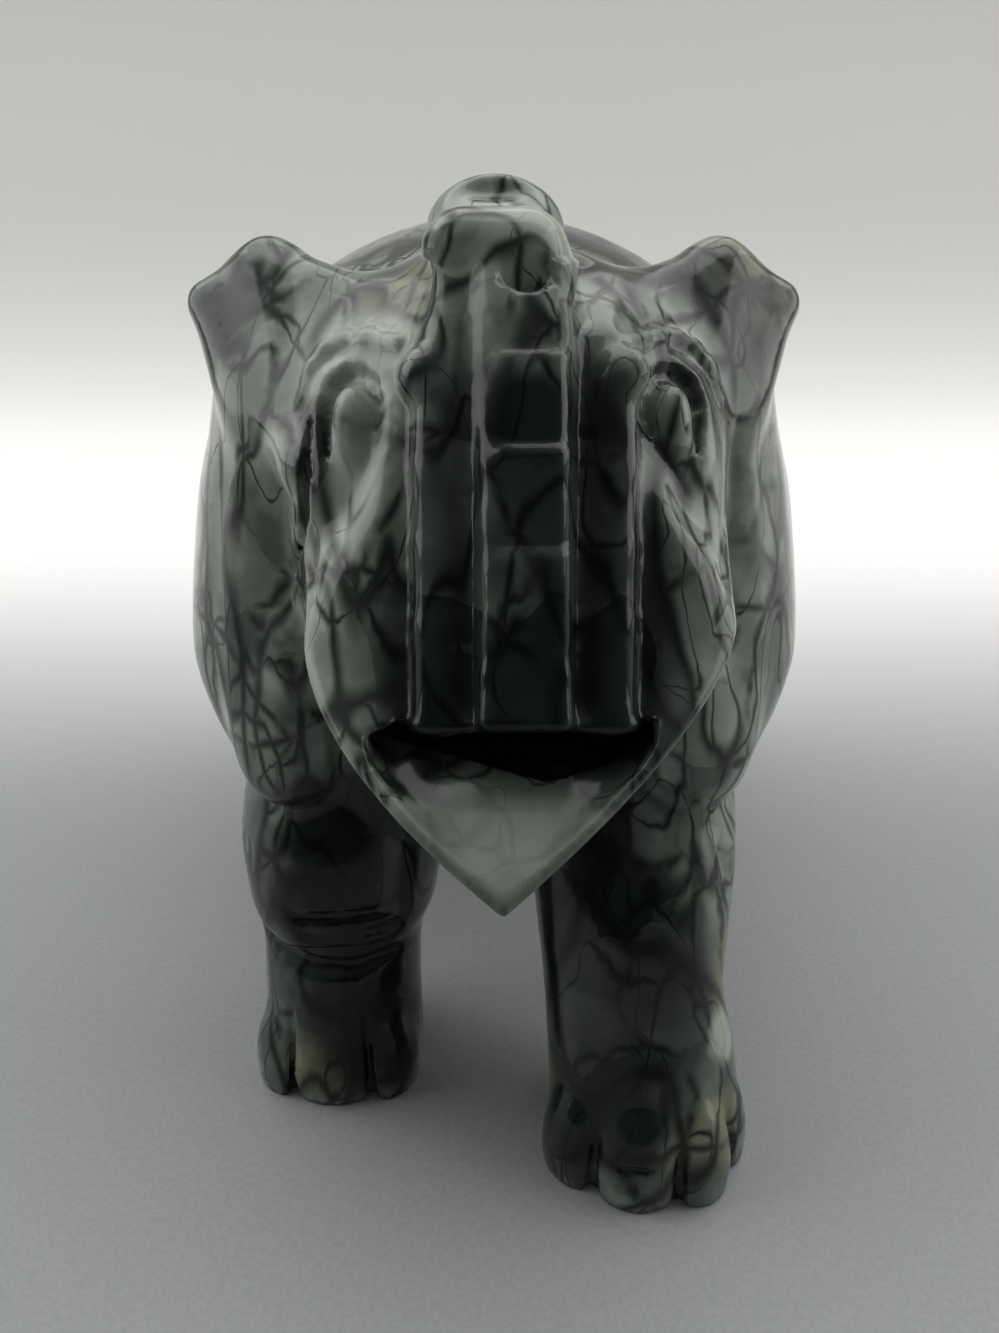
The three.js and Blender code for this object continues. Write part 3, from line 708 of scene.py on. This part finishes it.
def carve_jaw():
    """The pointed lower jaw, and the open mouth above it."""

    def hull(x, y, z):
        sides = soft_max(jaw_side(x, y, z), JAW["keel"] - z, JAW["keel_edge"])
        below_rim = soft_max(sides, (z - rim_height(y)) * JAW["steep"], JAW["rim_edge"])
        return soft_max(below_rim, y - JAW["back"], JAW["back_edge"])

    def cavity(x, y, z):
        back = y - JAW["tip"][1]
        lip = MOUTH["lip"] + MOUTH["flare"] * np.abs(x - MOUTH["low_x"])
        drop = MOUTH["drop"] * smoothstep(back, lip, lip + MOUTH["drop_run"])
        floor = JAW["tip"][2] - MOUTH["dip"] + np.minimum(back, lip) * MOUTH["slope"] - drop - z
        walls = jaw_side(x, y, z) + MOUTH["wall"]
        sides = soft_max(walls, np.abs(x - HEAD_X) - MOUTH["half_width"], MOUTH["side_edge"])
        level = soft_max(floor * MOUTH["steep"], -under_lip(y, z), MOUTH["edge"])
        return soft_max(level, soft_max(sides, y - MOUTH["back"], MOUTH["back_edge"]), MOUTH["edge"])

    add("jaw", Form(JAW_SPACE["middle"], JAW_SPACE["reach"], hull))
    cut("mouth", Form(JAW_SPACE["middle"], JAW_SPACE["reach"], cavity))


def front_of(x, z):
    """Where the front of the stone is, at x and z."""
    depths = np.arange(PROBE["front"], PROBE["middle"], PROBE["step"])
    inside = stone([(x, y, z) for y in depths]) < 0
    return depths[np.argmax(inside)]


def laid(lines, sunk=0.0):
    """Joints (x, z, radius) laid on the front of the stone."""
    return [((x, front_of(x, z) + sunk, z), radius) for x, z, radius in lines]


def carve_tusks():
    """Low tusks that lie against the muzzle, each with a groove beside it."""
    heights = np.linspace(TUSK["low"], TUSK["high"], len(TUSK_TAPER))
    for side in SIDES:
        groove_x = TUSK["x"] + side * TUSK["groove_out"]
        rows = [(groove_x, z, TUSK["groove"] * share) for z, share in zip(heights, TUSK_GROOVE_TAPER)]
        cut("tusk_groove", limb(1, laid(rows)))
    for side in SIDES:
        x = TUSK["x"] + side * TUSK["out"]
        rows = [(x, z, TUSK["radius"] * share) for z, share in zip(heights, TUSK_TAPER)]
        add("tusk", limb(1, laid(rows, TUSK["sunk"])))


def carve_eyes():
    """Each eye under its brow, with the line of its lid, and a bump towards the trunk."""
    for side in SIDES:
        x, z = HEAD_X + side * EYE["out"], EYE["z"]
        y = front_of(x, z)
        brow, lid = (
            [(x + side * out, z + up, radius) for out, up, radius in line] for line in (BROW, LID_LINE)
        )
        add("brow", limb(1, laid(brow, EYE["brow_depth"])))
        cut("lid", limb(0.5, laid(lid, EYE["lid_depth"])))
        add("eye", egg((x, y + EYE["sunk"], z), EYE["ball"]))
        bump_row = (TUSK["x"] + side * EYE_BUMP["out"], EYE_BUMP["z"], EYE_BUMP["radius"])
        place, radius = laid([bump_row], EYE_BUMP["sunk"])[0]
        add("eye_bump", egg(place, (radius,) * 3))


def ear_leaf(side):
    """The leaf of an ear, which turns back from its front edge and hugs the shoulder."""
    outline = bar((0, *EAR["top"]), (0, *EAR["low"]), EAR["top_radius"], EAR["low_radius"])

    def distance(x, y, z):
        out = side * (x - EAR_X)
        back = np.clip(y - EAR["front_y"], -1, EAR["depth"])
        turned = np.exp(-back / EAR["turn"])
        spread = along(EAR_FRONT, z, 2)
        outer = along(EAR_FRONT, z, 1) + spread * (1 - turned) + EAR["splay"] * back
        steep = spread / EAR["turn"] * turned + EAR["splay"]
        rim = outline.distance(0, y, z)
        across = (np.abs(out - outer + EAR["thickness"]) - EAR["thickness"]) / np.sqrt(1.1 + steep**2)
        rim = soft_max(rim, EAR["front_y"] - y, EAR["rim_edge"])
        dished = across + EAR["dish"] * smoothstep(-rim, *EAR["dish_edge"])
        return soft_max(rim, dished, EAR["face_edge"])

    return Form(mirrored(side, EAR_X, EAR["middle"]), EAR["reach"], distance)


def carve_ears():
    """Each ear's leaf, the lobe under it, the roll down its front edge and the flap over the eye."""
    for side in SIDES:
        add("ear", ear_leaf(side))
        add("lobe", egg(mirrored(side, EAR_X, LOBE["middle"]), LOBE["radii"]))
        add("roll", limb(1, mirrored_joints(side, EAR_X, ROLL)))
        for names in (("corner", "crest", "foot"), ("crest", "inner", "foot")):
            joints = mirrored_joints(side, EAR_X, [FLAP[name] for name in names])
            add("flap", plate([p for p, _ in joints], [r for _, r in joints]))
    for sunk in SLIT_DEPTHS:
        cut("slit", limb(0.6, laid([(EAR_X - out, z, radius) for out, z, radius in SLIT], sunk)))


def carve_tail():
    """The tail lies on the rump in relief."""
    depths = np.arange(PROBE["back"], PROBE["rump"], -PROBE["step"])
    joints = []
    for x, z, radius in TAIL:
        inside = stone([(x, y, z) for y in depths]) < 0
        joints.append(((x, depths[np.argmax(inside)] + PROBE["step"], z), radius))
    add("tail", limb(1, joints))


def find_skin():
    """The skin on a grid: a point in each cell that it crosses, and a face round each edge that it crosses.

    Only blocks of the grid that are near the skin are worked out, and the rest is far inside or outside.
    """
    counts = np.array([math.ceil((hi - lo) / SKIN_CELL / BLOCK) * BLOCK for lo, hi in zip(LOW, HIGH)])
    low = np.array(LOW)
    values = np.empty(counts, np.float32)
    blocks = np.argwhere(np.ones(counts // BLOCK, bool))
    coarse = stone(low + (blocks * BLOCK + (BLOCK - 1) / 2) * SKIN_CELL)
    inner = np.argwhere(np.ones((BLOCK,) * 3, bool))
    near = np.abs(coarse) < SKIN_CELL * BLOCK * 1.1
    shape = tuple(v for n in counts // BLOCK for v in (n, BLOCK))
    cube = values.reshape(shape).transpose(0, 2, 4, 1, 3, 5)
    cube[tuple(blocks.T)] = np.sign(coarse)[:, None, None, None] * FAR
    nodes = (blocks[near][:, None, :] * BLOCK + inner[None]).reshape(-1, 3)
    values[tuple(nodes.T)] = stone(low + nodes * SKIN_CELL)

    inside = values < 0
    corners = [(a, b, c) for a in (0, 1) for b in (0, 1) for c in (0, 1)]
    cut_out = [tuple(slice(v, n - 1 + v) for v, n in zip(corner, counts)) for corner in corners]
    number = sum(inside[s].astype(np.int8) for s in cut_out)
    cells = np.argwhere((number > 0) & (number < 8))
    index = np.full(counts - 1, -1, np.int32)
    index[tuple(cells.T)] = np.arange(len(cells))
    total = np.zeros((len(cells), 3))
    crossed = np.zeros(len(cells))
    for a in corners:
        for axis in range(3):
            if a[axis]:
                continue
            b = tuple(v + (i == axis) for i, v in enumerate(a))
            va = values[tuple((cells + a).T)]
            vb = values[tuple((cells + b).T)]
            hit = (va < 0) != (vb < 0)
            t = np.where(hit, va / np.where(hit, va - vb, 1), 0)
            point = cells + np.array(a) + t[:, None] * np.eye(3)[axis]
            total += point * hit[:, None]
            crossed += hit
    points = low + total / crossed[:, None] * SKIN_CELL

    quads = []
    for axis in range(3):
        u, v = (axis + 1) % 3, (axis + 2) % 3
        ahead = [slice(None)] * 3
        ahead[axis] = slice(1, None)
        behind = [slice(None)] * 3
        behind[axis] = slice(None, -1)
        edges = np.argwhere(inside[tuple(ahead)] != inside[tuple(behind)])
        leaving = inside[tuple(edges.T)]
        ring = []
        for du, dv in ((0, 0), (-1, 0), (-1, -1), (0, -1)):
            at = edges.copy()
            at[:, u] += du
            at[:, v] += dv
            ring.append(index[tuple(at.T)])
        ring = np.stack(ring, axis=1)
        quads.append(np.where(leaving[:, None], ring, ring[:, ::-1]))
    return points, np.concatenate(quads)


def outer_skin(points, quads):
    """Only the outer skin is kept, so a hollow that is sealed inside the stone is filled."""
    label = np.arange(len(points))
    while True:
        low = label[quads].min(axis=1)
        new = label.copy()
        for column in range(4):
            np.minimum.at(new, quads[:, column], low)
        new = new[new]
        if (new == label).all():
            break
        label = new
    names, sizes = np.unique(label[quads[:, 0]], return_counts=True)
    quads = quads[label[quads[:, 0]] == names[np.argmax(sizes)]]
    kept, flat = np.unique(quads, return_inverse=True)
    return points[kept], flat.reshape(quads.shape)


def settled(points, rounds=2):
    """Moves the points onto the skin along its slope."""
    reach = 0.05
    ways = np.array([(1, -1, -1), (-1, -1, 1), (-1, 1, -1), (1, 1, 1)], float)
    for _ in range(rounds):
        slope = np.zeros_like(points)
        level = np.zeros(len(points))
        for way in ways:
            d = stone(points + way * reach)
            slope += way * d[:, None]
            level += d / 4
        slope /= 4 * reach
        steep = np.maximum((slope**2).sum(axis=1), 0.05)
        move = np.clip(level / steep, -SKIN_CELL / 2, SKIN_CELL / 2)
        points = points - slope * move[:, None]
    return points


def carve():
    """Carves the elephant and finds its skin, with flat soles and at most TRIANGLES triangles."""
    carve_body()
    carve_legs()
    carve_folds()
    carve_muzzle()
    carve_trunk()
    carve_jaw()
    carve_tusks()
    carve_ears()
    carve_eyes()
    carve_tail()
    points, quads = outer_skin(*find_skin())
    points = settled(points)
    points[:, 2] = np.where(points[:, 2] < SOLE, 0, points[:, 2])
    mesh = bpy.data.meshes.new("carved_elephant")
    mesh.from_pydata((points - np.array(HOME)) * MM, [], quads.tolist())
    mesh.validate()
    elephant = bpy.data.objects.new("carved_elephant", mesh)
    bpy.context.collection.objects.link(elephant)
    count = 2 * len(mesh.polygons)
    if count > TRIANGLES:
        thin = elephant.modifiers.new("thin", "DECIMATE")
        thin.ratio = TRIANGLES / count
        graph = bpy.context.evaluated_depsgraph_get()
        thinned = bpy.data.meshes.new_from_object(elephant.evaluated_get(graph))
        elephant.modifiers.clear()
        elephant.data = thinned
    elephant.data.shade_smooth()
    return elephant


def node(tree, kind, inputs=None, **settings):
    """A shader node. Its inputs are given as values or as the sockets that feed them."""
    made = tree.nodes.new("ShaderNode" + kind)
    for name, value in settings.items():
        setattr(made, name, value)
    for name, value in (inputs or {}).items():
        if isinstance(value, bpy.types.NodeSocket):
            tree.links.new(value, made.inputs[name])
        else:
            made.inputs[name].default_value = value
    return made


def calculate(tree, operation, a, b=0.0):
    return node(tree, "Math", {0: a, 1: b}, operation=operation).outputs[0]


def ranged(tree, value, low, high, to_low=0.0, to_high=1.0):
    """A value that runs smoothly from to_low to to_high while the given one runs from low to high."""
    inputs = {"Value": value, "From Min": low, "From Max": high, "To Min": to_low, "To Max": to_high}
    return node(tree, "MapRange", inputs, interpolation_type="SMOOTHSTEP").outputs["Result"]


def mixed(tree, share, a, b):
    """Two colours mixed: a where the share is 0, b where it is 1."""
    made = node(tree, "Mix", {"Factor": share}, data_type="RGBA")
    for socket, value in zip(made.inputs[6:8], (a, b)):
        if isinstance(value, bpy.types.NodeSocket):
            tree.links.new(value, socket)
        else:
            socket.default_value = (*value, 1)
    return made.outputs[2]


def bent(tree, where, scale, amount):
    """Places shifted this way and that, so that what is drawn there runs crooked."""
    wander = node(tree, "TexNoise", {"Vector": where, "Scale": scale, "Detail": 3.0}).outputs["Color"]
    centred = node(tree, "VectorMath", {0: wander, 1: (0.5, 0.5, 0.5)}, operation="SUBTRACT").outputs[0]
    shift = node(tree, "VectorMath", {0: centred, "Scale": amount}, operation="SCALE").outputs[0]
    return node(tree, "VectorMath", {0: where, 1: shift}, operation="ADD").outputs[0]


def vein_group():
    """Long crooked seams, now wide and now thin, along the middle value of a cloud."""
    tree = bpy.data.node_groups.new("vein", "ShaderNodeTree")
    tree.interface.new_socket("Vector", in_out="INPUT", socket_type="NodeSocketVector")
    for name in ("Scale", "Bend", "Width"):
        tree.interface.new_socket(name, in_out="INPUT", socket_type="NodeSocketFloat")
    tree.interface.new_socket("Mask", in_out="OUTPUT", socket_type="NodeSocketFloat")
    given = tree.nodes.new("NodeGroupInput").outputs
    where = bent(tree, given["Vector"], calculate(tree, "MULTIPLY", given["Scale"], 1.7), given["Bend"])
    cloud = {"Vector": where, "Scale": given["Scale"], "Detail": 0.6}
    level = node(tree, "TexNoise", cloud).outputs["Fac"]
    away = calculate(tree, "ABSOLUTE", calculate(tree, "SUBTRACT", level, 0.5))
    slow = calculate(tree, "MULTIPLY", given["Scale"], 0.8)
    waver = node(tree, "TexNoise", {"Vector": given["Vector"], "Scale": slow})
    thick = ranged(tree, waver.outputs["Fac"], 0.35, 0.68, 0.004, given["Width"])
    seam = ranged(tree, away, 0, thick, 1, 0)
    tree.links.new(seam, tree.nodes.new("NodeGroupOutput").inputs["Mask"])
    return tree


def veins(tree, group, where, scale, bend, width):
    made = node(tree, "Group", node_tree=group)
    tree.links.new(where, made.inputs["Vector"])
    for name, value in (("Scale", scale), ("Bend", bend), ("Width", width)):
        made.inputs[name].default_value = value
    return made.outputs["Mask"]


def spot(tree, where, place, radius, soft=0.5):
    """One within radius of a place in the carver's coordinates, fading to nothing outside."""
    middle = tuple((p - h) * MM for p, h in zip(place, HOME))
    away = node(tree, "VectorMath", {0: where, 1: middle}, operation="DISTANCE").outputs["Value"]
    return ranged(tree, away, radius * soft * MM, radius * MM, 1, 0)


def strongest(tree, masks):
    found = masks[0]
    for mask in masks[1:]:
        found = calculate(tree, "MAXIMUM", found, mask)
    return found


def patches(tree, where, places, soft=0.5):
    return strongest(tree, [spot(tree, where, place, radius, soft) for place, radius in places])


def covered(tree, body, mask, share, colour):
    """The body with a colour laid over it where the mask is, by a share of up to one."""
    return mixed(tree, calculate(tree, "MULTIPLY", mask, share), body, colour)


def jade_material():
    material = bpy.data.materials.new("polished_jade")
    material.use_nodes = True
    tree = material.node_tree
    where = node(tree, "TexCoord").outputs["Object"]
    crooked = bent(tree, where, PATTERN["bends"], BENT)

    # Pale and middling cells, with clouds through both
    cell = {"Vector": crooked, "Scale": PATTERN["cells"]}
    cells = node(tree, "TexVoronoi", cell, feature="F1").outputs["Color"]
    tint = node(tree, "SeparateColor", {"Color": cells}).outputs["Red"]
    clouds = {"Vector": where, "Scale": PATTERN["cloud"], "Detail": 5.0}
    cloud = node(tree, "TexNoise", clouds).outputs["Fac"]
    drifts = {"Vector": where, "Scale": PATTERN["drift"], "Detail": 4.0}
    drift = node(tree, "TexNoise", drifts).outputs["Fac"]
    body = mixed(tree, ranged(tree, tint, 0.1, 0.9), JADE["middling"], JADE["pale"])
    body = mixed(tree, ranged(tree, cloud, 0.38, 0.72, 0, SHARE["cloud"]), body, JADE["milky"])
    body = mixed(tree, ranged(tree, drift, 0.42, 0.66, 0, SHARE["drift"]), body, JADE["deep"])

    # Patches that show in the right places: olive stains, pale patches, and dark patches. The dark patches
    # are painted shade on the front of the muzzle and trunk and on the inner sides of the front legs, and
    # dark stone elsewhere. Pale cells show faintly through the dark ones.
    body = covered(tree, body, patches(tree, crooked, STAINS), SHARE["stain"], JADE["olive"])
    light = patches(tree, crooked, PALE_PATCHES)
    body = covered(tree, body, light, SHARE["pale"], JADE["milky"])
    hidden = ranged(tree, tint, 0.3, 0.8, SHARE["dark"], SHARE["dark_cells"])
    body = covered(tree, body, patches(tree, crooked, SHADE_AND_DARK_PATCHES, 0.55), hidden, JADE["deep"])
    lip = spot(tree, crooked, *LIP_PATCH, 0.75)
    mottled = mixed(tree, ranged(tree, cloud, 0.42, 0.58), JADE["middling"], JADE["lip"])
    body = covered(tree, body, lip, SHARE["lip"], mottled)

    # Veins: strokes that lean several ways and cross, and a net of finer seams in places
    group = vein_group()
    seams = []
    for lean, stretch, scale, width in STROKES:
        leaning = {"Vector": where, "Rotation": lean, "Scale": (1, 1, stretch)}
        turned = node(tree, "Mapping", leaning).outputs["Vector"]
        seams.append(veins(tree, group, turned, scale, VEIN_BENT, width))
    net = node(tree, "TexVoronoi", cell, feature="DISTANCE_TO_EDGE").outputs["Distance"]
    broken = ranged(tree, cloud, 0.42, 0.58)
    seams.append(calculate(tree, "MULTIPLY", ranged(tree, net, 0, 0.09, 1, 0), broken))
    bare = calculate(tree, "MULTIPLY", strongest(tree, [light, lip]), SHARE["spared"])
    seam = calculate(tree, "MULTIPLY", strongest(tree, seams), calculate(tree, "SUBTRACT", 1, bare))
    colour = covered(tree, body, seam, SHARE["vein"], JADE["vein"])

    fine = {"Vector": where, "Scale": PATTERN["polish"], "Detail": 3.0}
    polish = node(tree, "TexNoise", fine).outputs["Fac"]
    shader = tree.nodes["Principled BSDF"]
    shader.inputs["IOR"].default_value = POLISH["ior"]
    shader.inputs["Specular IOR Level"].default_value = POLISH["specular"]
    shader.inputs["Coat Roughness"].default_value = POLISH["coat_roughness"]
    shader.inputs["Coat Weight"].default_value = POLISH["coat"]
    tree.links.new(colour, shader.inputs["Base Color"])
    smooth = ranged(tree, polish, 0.3, 0.75, POLISH["smooth"], POLISH["dull"])
    rough = calculate(tree, "ADD", smooth, calculate(tree, "MULTIPLY", lip, POLISH["lip"]))
    tree.links.new(rough, shader.inputs["Roughness"])
    uneven = node(tree, "Bump", {"Height": polish, "Strength": POLISH["bump"], "Distance": MM})
    tree.links.new(uneven.outputs["Normal"], shader.inputs["Normal"])
    return material


def lamp(name, where, towards, size, power):
    soft_box = bpy.data.lights.new(name, "AREA")
    soft_box.shape = "RECTANGLE"
    soft_box.size, soft_box.size_y = size
    soft_box.energy = power
    thing = bpy.data.objects.new(name, soft_box)
    thing.location = where
    thing.rotation_euler = (Vector(towards) - Vector(where)).to_track_quat("-Z", "Y").to_euler()
    bpy.context.collection.objects.link(thing)


def build_lights():
    """A studio that is dark in front and bright overhead and behind."""
    for row in LAMPS:
        lamp(*row)
    world = bpy.data.worlds.new("studio")
    world.use_nodes = True
    tree = world.node_tree
    way = node(tree, "TexCoord").outputs["Generated"]
    ways = {0: way, 1: STUDIO["bright_way"]}
    upward = node(tree, "VectorMath", ways, operation="DOT_PRODUCT").outputs["Value"]
    glow = mixed(tree, ranged(tree, upward, *STUDIO["fade"]), STUDIO["dark"], STUDIO["bright"])
    background = tree.nodes["Background"]
    background.inputs["Strength"].default_value = STUDIO["strength"]
    tree.links.new(glow, background.inputs["Color"])
    bpy.context.scene.world = world


def build_stage():
    """A pale sweep: level under the elephant, then curving up behind it. Its colour is painted light and
    shade: grey in front, white where it bends up, and a duller grey higher up.
    """
    bend, radius = SWEEP["bend"], SWEEP["radius"]
    rows = [(-SWEEP["front"], 0), (bend, 0)]
    for step in range(1, SWEEP["steps"] + 1):
        turn = math.radians(90 * step / SWEEP["steps"])
        rows.append((bend + radius * math.sin(turn), radius * (1 - math.cos(turn))))
    rows.append((bend + radius, SWEEP["top"]))
    points = [(x, y, z) for x in (-SWEEP["half_width"], SWEEP["half_width"]) for y, z in rows]
    n = len(rows)
    mesh = bpy.data.meshes.new("sweep")
    mesh.from_pydata(points, [], [(i, i + n, i + n + 1, i + 1) for i in range(n - 1)])
    mesh.shade_smooth()
    sweep = bpy.data.objects.new("sweep", mesh)
    bpy.context.collection.objects.link(sweep)
    material = bpy.data.materials.new("pale_sweep")
    material.use_nodes = True
    tree = material.node_tree
    where = node(tree, "TexCoord").outputs["Object"]
    along_y = node(tree, "SeparateXYZ", {0: where}).outputs["Y"]
    grain = node(tree, "TexNoise", {"Vector": where, "Scale": 1400, "Detail": 2.0}).outputs["Fac"]
    grey = mixed(tree, ranged(tree, grain, 0.35, 0.65), SWEEP["grey"], SWEEP["grey_grain"])
    # Painted light and shade: the grey front turns white behind the elephant and a duller grey up the curve
    colour = mixed(tree, ranged(tree, along_y, *SWEEP["fade"]), grey, SWEEP["white"])
    colour = mixed(tree, ranged(tree, along_y, *SWEEP["far"]), colour, SWEEP["dull"])
    shader = tree.nodes["Principled BSDF"]
    shader.inputs["Roughness"].default_value = SWEEP["roughness"]
    tree.links.new(colour, shader.inputs["Base Color"])
    mesh.materials.append(material)


def build_camera():
    """A camera close in front of the elephant that looks down at it."""
    camera = bpy.data.cameras.new("camera")
    camera.sensor_fit = "AUTO"
    camera.sensor_width = CAMERA["sensor"]
    camera.lens = CAMERA["sensor"] * CAMERA["focal"] / CAMERA["high"]
    camera.clip_start = 0.01
    camera.clip_end = 20
    thing = bpy.data.objects.new("camera", camera)
    thing.location = tuple((p - h) * MM for p, h in zip(CAMERA["place"], HOME))
    thing.rotation_euler = (math.radians(CAMERA["tilt"]), 0, 0)
    bpy.context.collection.objects.link(thing)
    bpy.context.scene.camera = thing


elephant = carve()
elephant.data.materials.clear()
elephant.data.materials.append(jade_material())
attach(elephant, "root")
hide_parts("elephant")
build_stage()
build_lights()
build_camera()
bpy.context.scene.view_settings.view_transform = "Standard"
